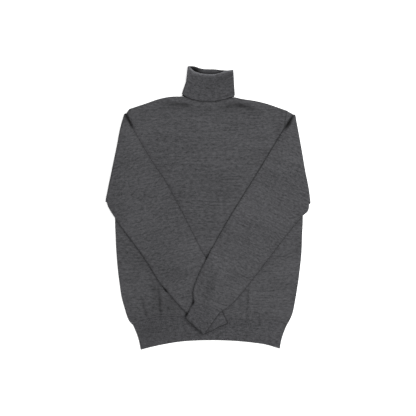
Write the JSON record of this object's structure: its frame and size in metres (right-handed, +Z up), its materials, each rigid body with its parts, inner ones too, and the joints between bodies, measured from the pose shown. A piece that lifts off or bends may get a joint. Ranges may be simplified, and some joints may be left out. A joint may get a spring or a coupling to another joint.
{
  "type": "turtleneck sweater laid flat with its sleeves folded over the front",
  "caption": "Fine-knit turtleneck pullover laid flat, front up, its long sleeves folded across the front, with a turned-down collar and ribbed cuffs and hem.",
  "frame": {"origin": "on the surface it lies on, under the middle of its outline", "axes": "+X to the right as seen from above, +Y from the hem towards the collar, +Z up out of the front"},
  "size_m": [0.5743, 0.793, 0.0169],
  "materials": {
    "jersey": "matt heathered charcoal fine wool plain knit, soft and slightly napped",
    "rib": "matt heathered charcoal fine wool rib"
  },
  "bodies": {
    "root": {"body_back": "jersey", "body_front": "jersey", "hem_rib_back": "rib", "hem_rib_front": "rib", "sleeve_right": "jersey", "cuff_right": "rib", "sleeve_left": "jersey", "cuff_left": "rib", "collar": "rib"}
  },
  "joints": []
}
